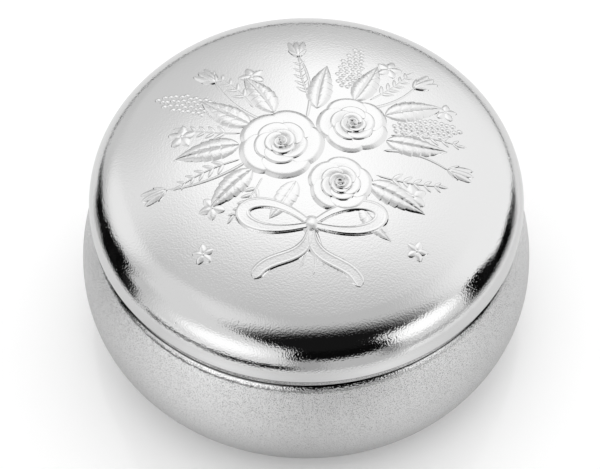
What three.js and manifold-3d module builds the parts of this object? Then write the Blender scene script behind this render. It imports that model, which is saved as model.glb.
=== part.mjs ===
// A round pewter jewelry box: a bellied bowl, lined with velvet, under a domed lid that lifts off.
// A spray of roses stands in relief on the lid.
// Millimetres, +Z up. The origin is the centre of the foot, on the table, and -Y is the front.

import * as THREE from 'three';
import { mergeVertices } from 'three/addons/utils/BufferGeometryUtils.js';
import Module from 'manifold-3d';

// Lid, a cast shell
const LID_RADIUS = 43.5; // outside of the lid at the seam
const LID_WALL = 2.0;
const LID_LIP_HEIGHT = 3.25; // lip above the seam
const LID_SHOULDER_RADIUS = 11.5; // rolls from the lip into the dome
const LID_DOME_RADIUS = 105; // the shallow dome across the top
const LID_TUCK = 0.7; // how far the lip draws in at its foot
const LID_TUCK_HEIGHT = 2.4; // over this height above the seam
const LID_EDGE_ROUND = 0.4; // rounded outer edge at the seam

// Base, a bellied bowl
const BASE_HEIGHT = 30.85; // table to seam
const BASE_WALL = 1.8;
const BASE_FLOOR = 2.0;
const BELLY_HEIGHT = 14.3; // height of the widest line
const BELLY_BULGE = 2.7; // how far the belly swells past the lid
const FOOT_INSET = 10.5; // how far the foot lies inside the belly
const FOOT_RING_WIDTH = 5;
const FOOT_RECESS = 0.8; // hollow inside the foot ring
const RIM_ROUND = 2.3; // rolled bead under the lid
const RIM_INSET = 0.6; // how far the bead stays inside the lid
const RIM_FLAT = 0.3; // width of the flat on the bead, where the lid sits

// Collar soldered into the mouth, which keeps the lid in place
const COLLAR_WALL = 1.0;
const COLLAR_DEPTH = 3.85; // how far it reaches down into the mouth
const COLLAR_STAND = 5; // how far it stands above the seam
const COLLAR_LEDGE = 1.5; // thickness of the ledge that carries it
const LEDGE_TAPER = 2.5; // height over which the ledge's underside runs out into the wall

// Lining: card and wadding under velvet
const CARD_THICKNESS = 1.2;
const VELVET_THICKNESS = 0.8;
const WADDING_EDGE = 1.2; // wadding height at the rim of the floor pad
const WADDING_CROWN = 3.2; // and at its middle
const WALL_LINING_DROP = 1.8; // the wall lining's card ends this far below the collar's top
const LID_LINING_LIFT = 10.55; // top of the lid's card above the seam

// Relief on the lid's dome. The edge of a raised form is sunk a little under the skin
const SPRAY_MARGIN = 2; // from the spray to the edge of the dome
const RELIEF_SUNK = 0.25;
const RELIEF_KEEL = 0.6; // depth of a form's underside
const RELIEF_TIP = 0.08; // half width at a pointed end
const LEAF_RISE = 0.6;
const LEAF_SLIMNESS = 0.24; // half width to length
const LEAF_SKEW = 0.72; // below 1, it is widest nearer the stalk
const BUD_RISE = 0.7;
const BUD_SLIMNESS = 0.3;
const BUD_SKEW = 0.8;
const STEM_RISE = 0.5;
const STEM_HALF_WIDTH = 0.4;
const TAIL_RISE = 0.5;
const TAIL_WAVES = 0.85; // waves along a tail
const LOOP_RISES = [0.65, 0.85]; // going out, coming back
const LOOP_FULLNESS = 0.75; // below 1, a loop is rounder at its far end
const RIBBON_HALF_WIDTH = 1.6;
const RIBBON_PINCH = 0.5; // share of its width left at the knot
const KNOT_RISE = 1.1;
const PETAL_RISES = [0.55, 0.8]; // outer and inner ring
const PETAL_DRAW_IN = 0.16; // how far a petal's ends lie nearer the heart
const PETAL_END_DROP = 0.3; // and how much lower they are
const HEART_RISE = 1.0;

// Layout of the spray on the plan of the dome: places and lengths are shares of its radius, headings
// are degrees from +X towards the back
const ROSES = [
  { x: -0.15, y: 0, radius: 0.25, turn: 10 },
  { x: 0.265, y: 0.15, radius: 0.21, turn: 50 },
  { x: 0.19, y: -0.28, radius: 0.19, turn: 95 },
];
const LEAVES = [
  { x: -0.32, y: 0.15, heading: 150, length: 0.37, bend: -0.04 },
  { x: -0.38, y: 0, heading: 184, length: 0.38, bend: 0.04 },
  { x: -0.31, y: -0.18, heading: 220, length: 0.34, bend: 0.04 },
  { x: -0.19, y: 0.24, heading: 114, length: 0.36, bend: 0.04 },
  { x: 0.06, y: 0.27, heading: 86, length: 0.37, bend: -0.04 },
  { x: 0.28, y: 0.34, heading: 60, length: 0.34, bend: 0.04 },
  { x: 0.46, y: 0.24, heading: 24, length: 0.37, bend: -0.04 },
  { x: 0.46, y: 0.05, heading: -10, length: 0.36, bend: 0.04 },
  { x: 0.36, y: -0.27, heading: -22, length: 0.36, bend: -0.04 },
  { x: 0.31, y: -0.41, heading: -58, length: 0.27, bend: 0.03 },
  { x: -0.06, y: -0.27, heading: 244, length: 0.28, bend: -0.03 },
];
const BUDS = [
  { x: -0.54, y: 0.52, heading: 134, length: 0.17, stem: 0.42, bend: -0.05 },
  { x: -0.05, y: 0.72, heading: 96, length: 0.17, stem: 0.46, bend: 0.05 },
  { x: 0.63, y: 0.49, heading: 40, length: 0.17, stem: 0.32, bend: 0.05 },
  { x: 0.81, y: -0.11, heading: -8, length: 0.16, stem: 0.36, bend: -0.04 },
  { x: -0.80, y: -0.25, heading: 197, length: 0.16, stem: 0.42, bend: -0.04 },
];
const KNOT = { x: 0.03, y: -0.545, radius: 0.06, heading: 90 };
const BOW_LOOPS = [
  { heading: 166, length: 0.40, spread: 56 },
  { heading: 12, length: 0.40, spread: -56 },
];
const BOW_TAILS = [
  { heading: 230, length: 0.44, wave: 0.053 },
  { heading: 302, length: 0.44, wave: -0.053 },
];
const PETAL_RINGS = [
  { count: 5, ring: 0.71, halfWidth: 0.30, span: 98, whirl: 0.10 },
  { count: 4, ring: 0.44, halfWidth: 0.21, span: 120, whirl: 0.12 },
]; // shares of the rose's radius
const HEART_SHARE = 0.3;

// Clearances
const LID_CLEARANCE = 0.3; // lid to collar, all round
const SOLDER_GAP = 0.15;
const GLUE_GAP = 0.1;
const LINING_GAP = 0.3; // between a lining piece and what holds it

// Facets
const SEGMENTS = 48; // round the axis
const LONG_ARC_STEPS = 7;
const DOME_STEPS = 5;
const HIDDEN_DOME_STEPS = 3; // behind the lid's lining
const SHORT_ARC_STEPS = 4;
const EDGE_STEPS = 2;
const LEAF_STEPS = 5;
const PETAL_STEPS = 4;
const BUD_STEPS = 4;
const STEM_STEPS = 3;
const RIBBON_STEPS = 7;
const AXIS_TOLERANCE = 1e-6;

// Sizes that follow from the ones above
const QUARTER_TURN = Math.PI / 2;
const shoulderCentreRadius = LID_RADIUS - LID_SHOULDER_RADIUS;
const shoulderCentreHeight = BASE_HEIGHT + LID_LIP_HEIGHT;
const domeCentreHeight =
  shoulderCentreHeight - legOf(LID_DOME_RADIUS - LID_SHOULDER_RADIUS, shoulderCentreRadius);
const domeMeetsShoulder = Math.atan2(shoulderCentreHeight - domeCentreHeight, shoulderCentreRadius);
const lidBore = LID_RADIUS - LID_WALL;
const sprayRadius = LID_DOME_RADIUS * Math.cos(domeMeetsShoulder) - SPRAY_MARGIN;

const bellyRadius = LID_RADIUS + BELLY_BULGE;
const footRadius = bellyRadius - FOOT_INSET;
const footRingBore = footRadius - FOOT_RING_WIDTH;
const floorTop = FOOT_RECESS + BASE_FLOOR;
const rimCentreRadius = LID_RADIUS - RIM_INSET - RIM_ROUND;
const mouthRadius = lidBore - LID_CLEARANCE + SOLDER_GAP;
const rimEnd = Math.acos((mouthRadius + RIM_FLAT - rimCentreRadius) / RIM_ROUND);
const rimCentreHeight = BASE_HEIGHT - RIM_ROUND * Math.sin(rimEnd);
const sideRise = rimCentreHeight - BELLY_HEIGHT;
const sideBulge = bellyRadius - LID_RADIUS + RIM_INSET;
const sideRadius = (sideRise ** 2 + sideBulge ** 2) / (2 * sideBulge);
const sideEnd = Math.asin(sideRise / sideRadius);
const sideCentreRadius = bellyRadius - sideRadius;
const innerSideRadius = sideRadius - BASE_WALL;
const innerFootCurveWidth = FOOT_INSET - BASE_WALL;
const innerFootCurveHeight = BELLY_HEIGHT - floorTop;

const collarOuter = lidBore - LID_CLEARANCE;
const collarInner = collarOuter - COLLAR_WALL;
const collarTop = BASE_HEIGHT + COLLAR_STAND;
const collarTopOuter = lidBoreAt(collarTop) - LID_CLEARANCE;
const ledgeTop = BASE_HEIGHT - COLLAR_DEPTH;
const ledgeBottom = ledgeTop - COLLAR_LEDGE;

const wallCardOuter = collarInner - LINING_GAP;
const wallCardInner = wallCardOuter - CARD_THICKNESS;
const wallCardTop = collarTop - WALL_LINING_DROP;
const wallLiningBottom = bowlFloorAt(wallCardOuter) + LINING_GAP;
const wallVelvetOuter = wallCardInner - GLUE_GAP;
const wallVelvetInner = wallVelvetOuter - VELVET_THICKNESS;
const wallVelvetFold = wallCardTop + GLUE_GAP;

const padRadius = wallVelvetInner - LINING_GAP;
const padCoreRadius = padRadius - VELVET_THICKNESS - GLUE_GAP;
const padBottom = bowlFloorAt(padRadius) + LINING_GAP;
const waddingBottom = padBottom + CARD_THICKNESS + GLUE_GAP;

const lidCardTop = BASE_HEIGHT + LID_LINING_LIFT;
const lidCardBottom = lidCardTop - CARD_THICKNESS;
const lidCardRadius = lidBoreAt(lidCardTop) - LINING_GAP;
const lidVelvetTop = lidCardBottom - GLUE_GAP;
const lidVelvetBottom = lidVelvetTop - VELVET_THICKNESS;

// The other leg of a right triangle
function legOf(hypotenuse, leg) {
  return Math.sqrt(hypotenuse ** 2 - leg ** 2);
}

// Inside radius of the lid's shoulder at a height
function lidBoreAt(height) {
  const curve = LID_SHOULDER_RADIUS - LID_WALL;
  return shoulderCentreRadius + legOf(curve, height - shoulderCentreHeight);
}

// Height of the bowl's inside at a radius: flat in the middle, then the curve up to the belly
function bowlFloorAt(radius) {
  const outward = Math.max(0, radius - footRadius) / innerFootCurveWidth;
  return BELLY_HEIGHT - innerFootCurveHeight * legOf(1, outward);
}

function point(radius, height) {
  return new THREE.Vector2(radius, height);
}

// Points along an arc of a circle in the plane of radius and height
function arc(centreRadius, centreHeight, radius, from, to, steps) {
  return ellipse(centreRadius, centreHeight, radius, radius, from, to, steps);
}

function ellipse(centreRadius, centreHeight, halfWidth, halfHeight, from, to, steps) {
  const clockwise = to < from;
  return new THREE.EllipseCurve(
    centreRadius, centreHeight, halfWidth, halfHeight, from, to, clockwise,
  ).getPoints(steps);
}

// Joins points and arcs, anticlockwise in the plane of radius and height, into one outline:
// repeats are dropped, and an outline that starts off the axis is closed on itself
function outline(...runs) {
  const points = [];
  for (const { x, y } of runs.flat()) {
    const next = point(x < AXIS_TOLERANCE ? 0 : x, y);
    const last = points.at(-1);
    if (!last || last.distanceTo(next) > AXIS_TOLERANCE) {
      points.push(next);
    }
  }
  if (points[0].x > 0) {
    points.push(points[0].clone());
  }
  return points;
}

// An outline swept round the vertical axis
function lathe(profile) {
  return new THREE.LatheGeometry(profile, SEGMENTS).rotateX(QUARTER_TURN);
}

function named(name, geometry, material) {
  const mesh = new THREE.Mesh(geometry, material);
  mesh.name = name;
  return mesh;
}

function turned(name, material, profile) {
  return named(name, lathe(profile), material);
}

// Bowl: foot ring, foot curve, side, beaded rim, the mouth with the collar's ledge, and the inside
function baseBowl(material) {
  const taperEnd = ledgeBottom - LEDGE_TAPER;
  const taperAngle = Math.asin((taperEnd - BELLY_HEIGHT) / innerSideRadius);
  return turned('base_bowl', material, outline(
    point(0, FOOT_RECESS),
    point(footRingBore, FOOT_RECESS),
    point(footRingBore, 0),
    ellipse(footRadius, BELLY_HEIGHT, FOOT_INSET, BELLY_HEIGHT, -QUARTER_TURN, 0, LONG_ARC_STEPS),
    arc(sideCentreRadius, BELLY_HEIGHT, sideRadius, 0, sideEnd, LONG_ARC_STEPS),
    arc(rimCentreRadius, rimCentreHeight, RIM_ROUND, 0, rimEnd, SHORT_ARC_STEPS),
    point(mouthRadius, BASE_HEIGHT),
    point(mouthRadius, ledgeTop),
    point(collarInner, ledgeTop),
    point(collarInner, ledgeBottom),
    arc(sideCentreRadius, BELLY_HEIGHT, innerSideRadius, taperAngle, 0, SHORT_ARC_STEPS),
    ellipse(
      footRadius, BELLY_HEIGHT, innerFootCurveWidth, innerFootCurveHeight, 0, -QUARTER_TURN,
      LONG_ARC_STEPS,
    ),
    point(0, floorTop),
  ));
}

// Collar: sits on the ledge in the mouth and tapers in above the lip to clear the lid's shoulder
function seatCollar(material) {
  return turned('seat_collar', material, outline(
    point(collarInner, ledgeTop),
    point(collarOuter, ledgeTop),
    point(collarOuter, shoulderCentreHeight),
    point(collarTopOuter, collarTop),
    point(collarInner, collarTop),
  ));
}

function wallCard(material) {
  return turned('wall_card', material, outline(
    point(wallCardInner, wallLiningBottom),
    point(wallCardOuter, wallLiningBottom),
    point(wallCardOuter, wallCardTop),
    point(wallCardInner, wallCardTop),
  ));
}

// Velvet on the wall, folded over the card's top edge
function wallVelvet(material) {
  return turned('wall_velvet', material, outline(
    point(wallVelvetInner, wallLiningBottom),
    point(wallVelvetOuter, wallLiningBottom),
    point(wallVelvetOuter, wallVelvetFold),
    point(wallCardOuter, wallVelvetFold),
    point(wallCardOuter, wallVelvetFold + VELVET_THICKNESS),
    point(wallVelvetInner, wallVelvetFold + VELVET_THICKNESS),
  ));
}

function floorCard(material) {
  return turned('floor_card', material, outline(
    point(0, padBottom),
    point(padCoreRadius, padBottom),
    point(padCoreRadius, padBottom + CARD_THICKNESS),
    point(0, padBottom + CARD_THICKNESS),
  ));
}

// The floor pad's crowned top, from the axis out to a radius, lifted by the layers below it
function padCrown(radius, lift) {
  const edge = waddingBottom + WADDING_EDGE + lift;
  return ellipse(0, edge, radius, WADDING_CROWN - WADDING_EDGE, QUARTER_TURN, 0, SHORT_ARC_STEPS);
}

function floorWadding(material) {
  return turned('floor_wadding', material, outline(
    point(0, waddingBottom),
    point(padCoreRadius, waddingBottom),
    padCrown(padCoreRadius, 0).reverse(),
  ));
}

// Velvet over the floor pad, drawn down round the card's edge
function floorVelvet(material) {
  return turned('floor_velvet', material, outline(
    padCrown(padCoreRadius + GLUE_GAP, GLUE_GAP),
    point(padCoreRadius + GLUE_GAP, padBottom),
    point(padRadius, padBottom),
    padCrown(padRadius, GLUE_GAP + VELVET_THICKNESS).reverse(),
  ));
}

// The lid's shoulder and dome at a depth under its outer skin, from the lip up to the axis
function lidSkin(depth, domeSteps) {
  const shoulder = arc(
    shoulderCentreRadius, shoulderCentreHeight, LID_SHOULDER_RADIUS - depth, 0, domeMeetsShoulder,
    LONG_ARC_STEPS,
  );
  const dome = arc(
    0, domeCentreHeight, LID_DOME_RADIUS - depth, domeMeetsShoulder, QUARTER_TURN, domeSteps,
  );
  return [...shoulder, ...dome];
}

// A unit vector on the plan, at a heading in degrees
function towards(heading) {
  const angle = THREE.MathUtils.degToRad(heading);
  return new THREE.Vector2(Math.cos(angle), Math.sin(angle));
}

// A place in the spray, on the plan of the dome
function inSpray({ x, y }) {
  return new THREE.Vector2(x, y).multiplyScalar(sprayRadius);
}

// The point above or below a place on the plan, along the dome's normal there
function onDome(place, rise) {
  const height = legOf(LID_DOME_RADIUS, place.length());
  const normal = new THREE.Vector3(place.x, place.y, height).normalize();
  return normal.multiplyScalar(LID_DOME_RADIUS + rise).add(new THREE.Vector3(0, 0, domeCentreHeight));
}

// A raised form along a path on the plan. halfWidthAt and riseAt give its half width and its rise at
// each share of the path, and section lists, from one edge to the other, the place across the form
// and the share of the rise there. A keel under the skin closes it below.
function raisedForm({ path, steps, halfWidthAt, riseAt, section }) {
  const ring = section.length + 1;
  const points = [];
  for (let step = 0; step <= steps; step += 1) {
    const share = step / steps;
    const place = path.getPoint(share);
    const ahead = path.getTangent(share);
    const sideways = new THREE.Vector2(-ahead.y, ahead.x);
    const halfWidth = Math.max(halfWidthAt(share), RELIEF_TIP);
    for (const [across, level] of section) {
      const rise = (riseAt(share) + RELIEF_SUNK) * level - RELIEF_SUNK;
      points.push(onDome(place.clone().addScaledVector(sideways, across * halfWidth), rise));
    }
    points.push(onDome(place, -RELIEF_KEEL));
  }
  const index = [];
  for (let row = 0; row < steps; row += 1) {
    for (let i = 0; i < ring; i += 1) {
      const here = row * ring + i;
      const beside = row * ring + ((i + 1) % ring);
      index.push(here, beside + ring, beside, here, here + ring, beside + ring);
    }
  }
  const last = steps * ring;
  for (let i = 1; i + 1 < ring; i += 1) {
    index.push(0, i, i + 1, last, last + i + 1, last + i);
  }
  return new THREE.BufferGeometry().setFromPoints(points).setIndex(index);
}

// A path on the plan given by a formula of its share
class PlanPath extends THREE.Curve {
  constructor(placeAt) {
    super();
    this.placeAt = placeAt;
  }

  getPoint(share, target = new THREE.Vector2()) {
    return target.copy(this.placeAt(share));
  }

  getTangent(share, target = new THREE.Vector2()) {
    const reach = 1e-4;
    const from = this.placeAt(Math.max(0, share - reach));
    const to = this.placeAt(Math.min(1, share + reach));
    return target.copy(to).sub(from).normalize();
  }
}

// A parabola that leaves its base along a heading and bends to the side
function bentPath(base, heading, length, bend) {
  const ahead = towards(heading);
  const aside = towards(heading + 90);
  return new PlanPath((s) => base.clone()
    .addScaledVector(ahead, s * length)
    .addScaledVector(aside, s ** 2 * bend));
}

// Sections across a form: place across it and share of its rise
const CUSHION = [[-1, 0], [-0.5, 1], [0, 0.65], [0.5, 1], [1, 0]];
const RIDGE = [[-1, 0], [0, 1], [1, 0]];
const BAND = [[-1, 0], [-0.85, 1], [0.85, 1], [1, 0]];
const LIP = [[-1, 0], [-0.75, 1], [0.2, 0.7], [1, 0]];

// A swelling from nothing at both ends of a path to 1 in the middle
function swell(share) {
  return Math.max(0, Math.sin(Math.PI * share));
}

// Width of the ribbon, from the pinch at the knot to the full width
function ribbonShare(share) {
  return RIBBON_PINCH + (1 - RIBBON_PINCH) * share;
}

// Leaf: two cushions with a groove along the middle, widest near the stalk
function leaf({ x, y, heading, length, bend }) {
  const halfWidth = LEAF_SLIMNESS * length * sprayRadius;
  return raisedForm({
    path: bentPath(inSpray({ x, y }), heading, length * sprayRadius, bend * sprayRadius),
    steps: LEAF_STEPS,
    halfWidthAt: (s) => halfWidth * swell(s ** LEAF_SKEW),
    riseAt: (s) => LEAF_RISE * Math.sqrt(swell(s)),
    section: CUSHION,
  });
}

// A round mound with a crease across it
function mound(centre, radius, heading, rise) {
  const start = centre.clone().addScaledVector(towards(heading), -radius);
  return raisedForm({
    path: bentPath(start, heading, 2 * radius, 0),
    steps: BUD_STEPS,
    halfWidthAt: (s) => radius * Math.sqrt(swell(s)),
    riseAt: (s) => rise * Math.sqrt(swell(s)),
    section: CUSHION,
  });
}

// Petal: a crescent round the rose's heart, drawn in and lowered at its ends, with a lip outside
function petal(centre, heading, ringRadius, halfWidth, rise, span, whirl) {
  return raisedForm({
    path: new PlanPath((share) => {
      const s = 2 * share - 1;
      const radius = ringRadius * (1 - PETAL_DRAW_IN * s ** 2 + whirl * s);
      return centre.clone().addScaledVector(towards(heading + (s * span) / 2), radius);
    }),
    steps: PETAL_STEPS,
    halfWidthAt: (share) => halfWidth * Math.sqrt(1 - (2 * share - 1) ** 4),
    riseAt: (share) => rise * (1 - PETAL_END_DROP * (2 * share - 1) ** 2),
    section: LIP,
  });
}

// Rose: two rings of petals, each higher than the one outside it, round a plump heart
function rose({ x, y, radius, turn }) {
  const size = radius * sprayRadius;
  const centre = inSpray({ x, y });
  const petals = PETAL_RINGS.flatMap(({ count, ring, halfWidth, span, whirl }, level) => {
    const headings = Array.from({ length: count }, (_, k) => turn + (360 * (k + ring)) / count);
    return headings.map((heading) => petal(
      centre, heading, ring * size, halfWidth * size, PETAL_RISES[level], span, whirl,
    ));
  });
  return [...petals, mound(centre, HEART_SHARE * size, turn, HEART_RISE)];
}

// Bud: a plump drop at the end of a stem that bends out of the spray
function bud({ x, y, heading, length, stem, bend }) {
  const foot = inSpray({ x, y });
  const stalkPath = bentPath(foot, heading + 180, stem * sprayRadius, bend * sprayRadius);
  const budLength = length * sprayRadius;
  return [
    raisedForm({
      path: stalkPath,
      steps: STEM_STEPS,
      halfWidthAt: () => STEM_HALF_WIDTH,
      riseAt: () => STEM_RISE,
      section: RIDGE,
    }),
    raisedForm({
      path: bentPath(foot, heading, budLength, 0),
      steps: BUD_STEPS,
      halfWidthAt: (s) => BUD_SLIMNESS * budLength * Math.sqrt(swell(s ** BUD_SKEW)),
      riseAt: (s) => BUD_RISE * Math.sqrt(swell(s ** BUD_SKEW)),
      section: RIDGE,
    }),
  ];
}

// Loop of the bow, as two legs that overlap at its far end: its distance from the knot is a sine while
// its heading swings across the spread
function bowLoop({ heading, length, spread }) {
  const knot = inSpray(KNOT);
  const legs = [[0, 0.54], [0.46, 1]];
  return legs.map(([from, to], leg) => {
    const along = (share) => from + (to - from) * share;
    return raisedForm({
      path: new PlanPath((share) => knot.clone().addScaledVector(
        towards(heading + spread * (along(share) - 0.5)),
        length * sprayRadius * swell(along(share)) ** LOOP_FULLNESS,
      )),
      steps: RIBBON_STEPS,
      halfWidthAt: (share) => RIBBON_HALF_WIDTH * ribbonShare(swell(along(share))),
      riseAt: () => LOOP_RISES[leg],
      section: BAND,
    });
  });
}

// Tail of the bow: runs out from the knot in a wave
function bowTail({ heading, length, wave }) {
  const knot = inSpray(KNOT);
  const aside = towards(heading + 90);
  return raisedForm({
    path: new PlanPath((s) => knot.clone()
      .addScaledVector(towards(heading), s * length * sprayRadius)
      .addScaledVector(aside, wave * sprayRadius * Math.sin(2 * Math.PI * TAIL_WAVES * s))),
    steps: RIBBON_STEPS,
    halfWidthAt: (s) => RIBBON_HALF_WIDTH * ribbonShare(s),
    riseAt: () => TAIL_RISE,
    section: BAND,
  });
}

function spray() {
  return [
    ...LEAVES.map(leaf),
    ...BUDS.flatMap(bud),
    ...ROSES.flatMap(rose),
    ...BOW_TAILS.map(bowTail),
    ...BOW_LOOPS.flatMap(bowLoop),
    mound(inSpray(KNOT), KNOT.radius * sprayRadius, KNOT.heading, KNOT_RISE),
  ];
}

// A closed geometry as a solid: shared corners merged, collapsed triangles dropped
function solidOf(geometry) {
  const bare = geometry.clone();
  bare.deleteAttribute('normal');
  bare.deleteAttribute('uv');
  const merged = mergeVertices(bare);
  const corners = merged.index.array;
  const triangles = [];
  for (let i = 0; i < corners.length; i += 3) {
    const [a, b, c] = corners.slice(i, i + 3);
    if (a !== b && b !== c && c !== a) {
      triangles.push(a, b, c);
    }
  }
  return new wasm.Manifold(new wasm.Mesh({
    numProp: 3,
    vertProperties: new Float32Array(merged.attributes.position.array),
    triVerts: new Uint32Array(triangles),
  }));
}

// Several closed geometries joined into one
function fused(geometries) {
  const whole = geometries.map(solidOf).reduce((sum, next) => sum.add(next)).getMesh();
  const geometry = new THREE.BufferGeometry();
  geometry.setAttribute('position', new THREE.BufferAttribute(whole.vertProperties, 3));
  geometry.setIndex(new THREE.BufferAttribute(whole.triVerts, 1));
  geometry.computeVertexNormals();
  return geometry;
}

// Lid: a turned shell with the spray raised on its dome
function lidShell(material) {
  const edgeRadius = LID_RADIUS - LID_TUCK - LID_EDGE_ROUND;
  const edgeHeight = BASE_HEIGHT + LID_EDGE_ROUND;
  const shell = lathe(outline(
    lidSkin(LID_WALL, HIDDEN_DOME_STEPS).reverse(),
    point(lidBore, BASE_HEIGHT),
    arc(edgeRadius, edgeHeight, LID_EDGE_ROUND, -QUARTER_TURN, 0, EDGE_STEPS),
    point(LID_RADIUS, BASE_HEIGHT + LID_TUCK_HEIGHT),
    lidSkin(0, DOME_STEPS),
  ));
  return named('lid_shell', fused([shell, ...spray()]), material);
}

// The lid's lining: a card disc pushed up into the shoulder, with velvet on its face
function lidCard(material) {
  return turned('lid_card', material, outline(
    point(0, lidCardBottom),
    point(lidCardRadius, lidCardBottom),
    point(lidCardRadius, lidCardTop),
    point(0, lidCardTop),
  ));
}

function lidVelvet(material) {
  return turned('lid_velvet', material, outline(
    point(0, lidVelvetBottom),
    point(lidCardRadius, lidVelvetBottom),
    point(lidCardRadius, lidVelvetTop),
    point(0, lidVelvetTop),
  ));
}

function finish(color, roughness, metalness) {
  return new THREE.MeshStandardMaterial({ color, roughness, metalness });
}

const wasm = await Module();
wasm.setup();

const polishedPewter = finish(0xd2d2d0, 0.15, 1);
const frostedPewter = finish(0xbcbcba, 0.45, 1);
const greyBoard = finish(0x8c877d, 0.95, 0);
const cottonWadding = finish(0xe6e2d8, 1, 0);
const blueVelvet = finish(0x1f2c57, 0.9, 0);

const base = new THREE.Group();
base.name = 'base';
base.add(
  baseBowl(frostedPewter),
  seatCollar(polishedPewter),
  wallCard(greyBoard),
  wallVelvet(blueVelvet),
  floorCard(greyBoard),
  floorWadding(cottonWadding),
  floorVelvet(blueVelvet),
);

const lid = new THREE.Group();
lid.name = 'lid';
lid.add(
  lidShell(polishedPewter),
  lidCard(greyBoard),
  lidVelvet(blueVelvet),
);

const jewelryBox = new THREE.Group();
jewelryBox.name = 'jewelry_box';
jewelryBox.add(base, lid);

export default jewelryBox;
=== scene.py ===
"""A round pewter jewelry box: frosted bowl, polished lid with a raised rose spray, velvet lining."""

import bmesh
import bpy
import numpy as np
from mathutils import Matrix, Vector


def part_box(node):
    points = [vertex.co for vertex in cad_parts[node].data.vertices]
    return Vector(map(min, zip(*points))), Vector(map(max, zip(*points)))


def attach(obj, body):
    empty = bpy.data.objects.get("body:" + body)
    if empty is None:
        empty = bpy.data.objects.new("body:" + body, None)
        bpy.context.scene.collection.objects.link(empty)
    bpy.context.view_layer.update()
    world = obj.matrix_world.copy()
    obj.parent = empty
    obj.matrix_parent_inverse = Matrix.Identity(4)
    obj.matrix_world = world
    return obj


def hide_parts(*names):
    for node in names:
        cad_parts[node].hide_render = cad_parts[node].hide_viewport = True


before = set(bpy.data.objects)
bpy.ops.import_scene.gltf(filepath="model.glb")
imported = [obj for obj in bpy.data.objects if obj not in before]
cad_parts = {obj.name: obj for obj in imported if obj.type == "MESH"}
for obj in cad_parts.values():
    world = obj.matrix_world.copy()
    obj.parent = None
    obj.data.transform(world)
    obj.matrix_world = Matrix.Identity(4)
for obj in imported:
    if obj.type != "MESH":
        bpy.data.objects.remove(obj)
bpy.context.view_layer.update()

MM = 0.001


# Sizes in millimetres: the outer ones come from the frame

def node_size(node):
    """Largest radius, lowest height and highest height of a CAD node, in millimetres."""
    low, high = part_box(node)
    return high.x / MM, low.z / MM, high.z / MM


LID_RADIUS, SEAM, _ = node_size("lid_shell")
BELLY_RADIUS, _, _ = node_size("base_bowl")
COLLAR_OUTER, COLLAR_BOTTOM, COLLAR_TOP = node_size("seat_collar")
WALL_CARD_OUTER, WALL_BOTTOM, WALL_CARD_TOP = node_size("wall_card")
WALL_VELVET_TOP = node_size("wall_velvet")[2]
PAD_CORE_RADIUS, PAD_BOTTOM, FLOOR_CARD_TOP = node_size("floor_card")
_, WADDING_BOTTOM, WADDING_TOP = node_size("floor_wadding")
PAD_RADIUS, _, PAD_TOP = node_size("floor_velvet")
LID_CARD_RADIUS, LID_CARD_BOTTOM, LID_CARD_TOP = node_size("lid_card")
_, LID_VELVET_BOTTOM, LID_VELVET_TOP = node_size("lid_velvet")

# The lid's profile
LID_WALL = 2.0
LIP_HEIGHT = 3.25
SHOULDER_RADIUS = 11.5
DOME_RADIUS = 105.0
LID_TUCK = 0.7
LID_TUCK_HEIGHT = 2.4
LID_EDGE_ROUND = 0.4

# The bowl's profile, with the bead at its mouth and the ledge for the collar
BASE_WALL = 1.8
FLOOR_TOP = 2.8
BELLY_HEIGHT = 14.3
FOOT_INSET = 10.5
FOOT_RING_WIDTH = 5.0
FOOT_RECESS = 0.8
RIM_ROUND = 2.3
RIM_INSET = 0.6
RIM_FLAT = 0.3
BEAD_ROUND = 7.0
COLLAR_WALL = 1.0
COLLAR_LEDGE = 1.5
LEDGE_TAPER = 2.5
SOLDER_GAP = 0.15

# The lining, and the softening of edges
CARD_THICKNESS = 1.2
VELVET_THICKNESS = 0.8
PAD_EDGE_RISE = 1.2
EDGE_SOFTENING = 0.25

# What follows from them, with angles in degrees; the side's last stretch has finer steps
SHOULDER_CENTRE = (LID_RADIUS - SHOULDER_RADIUS, SEAM + LIP_HEIGHT)
DOME_CENTRE = SHOULDER_CENTRE[1] - np.sqrt((DOME_RADIUS - SHOULDER_RADIUS) ** 2 - SHOULDER_CENTRE[0] ** 2)
DOME_MEETS_SHOULDER = np.degrees(np.arctan2(SHOULDER_CENTRE[1] - DOME_CENTRE, SHOULDER_CENTRE[0]))
LIP_LINE_HEIGHT = SEAM + LID_TUCK_HEIGHT
FOOT_RADIUS = BELLY_RADIUS - FOOT_INSET
MOUTH_RADIUS = COLLAR_OUTER + SOLDER_GAP
RIM_CENTRE_RADIUS = LID_RADIUS - RIM_INSET - RIM_ROUND
RIM_END = np.degrees(np.arccos((MOUTH_RADIUS + RIM_FLAT - RIM_CENTRE_RADIUS) / RIM_ROUND))
CREASE_HEIGHT = SEAM - RIM_ROUND * np.sin(np.radians(RIM_END))
SIDE_RISE = CREASE_HEIGHT - BELLY_HEIGHT
BELLY_BULGE = BELLY_RADIUS - LID_RADIUS + RIM_INSET
SIDE_RADIUS = (SIDE_RISE ** 2 + BELLY_BULGE ** 2) / (2 * BELLY_BULGE)
SIDE_CENTRE = (BELLY_RADIUS - SIDE_RADIUS, BELLY_HEIGHT)
SIDE_END = np.degrees(np.arcsin(SIDE_RISE / SIDE_RADIUS))
LAST_STRETCH = 1.5
SIDE_LAST = SIDE_END - LAST_STRETCH

TURN_STEPS = 256
ARC_STEPS = 40
SMALL_ARC_STEPS = 10
CORNER_STEPS = 6
TUCK_STEPS = 16
SHARP_ANGLE = np.radians(50)
WELD = 1e-7


# Meshes

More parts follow.
